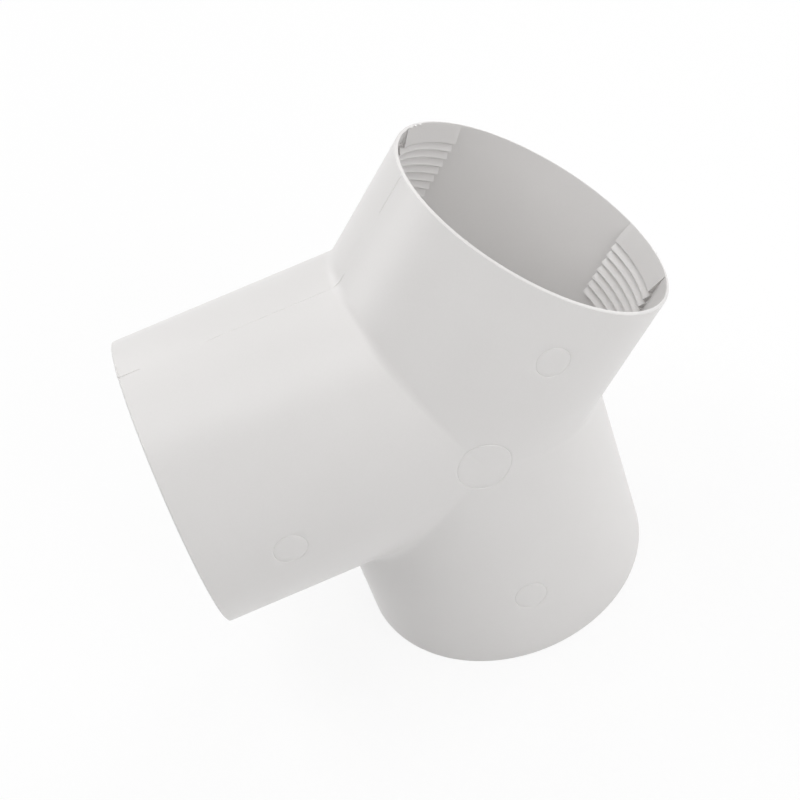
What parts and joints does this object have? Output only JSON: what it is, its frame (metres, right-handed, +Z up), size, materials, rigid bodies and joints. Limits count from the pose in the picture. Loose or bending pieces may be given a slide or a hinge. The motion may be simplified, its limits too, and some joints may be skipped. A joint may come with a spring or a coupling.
{
  "type": "duct y branch",
  "caption": "Moulded plastic Y branch for round ventilation duct: a short main socket splits into equal branch sockets at a right angle, with barbed grip pads inside each mouth.",
  "frame": {"origin": "centre of the lower branch's rim, in the plane that the part stands on", "axes": "+Z up along the lower branch, -X along the side branch, the main arm rises to +X at 45 degrees; the front, with the mould's round marks, faces -Y"},
  "size_m": [0.2829, 0.16, 0.2829],
  "materials": {
    "moulded_plastic": "satin, warm white"
  },
  "bodies": {
    "root": {"y_branch": "moulded_plastic"}
  },
  "joints": []
}
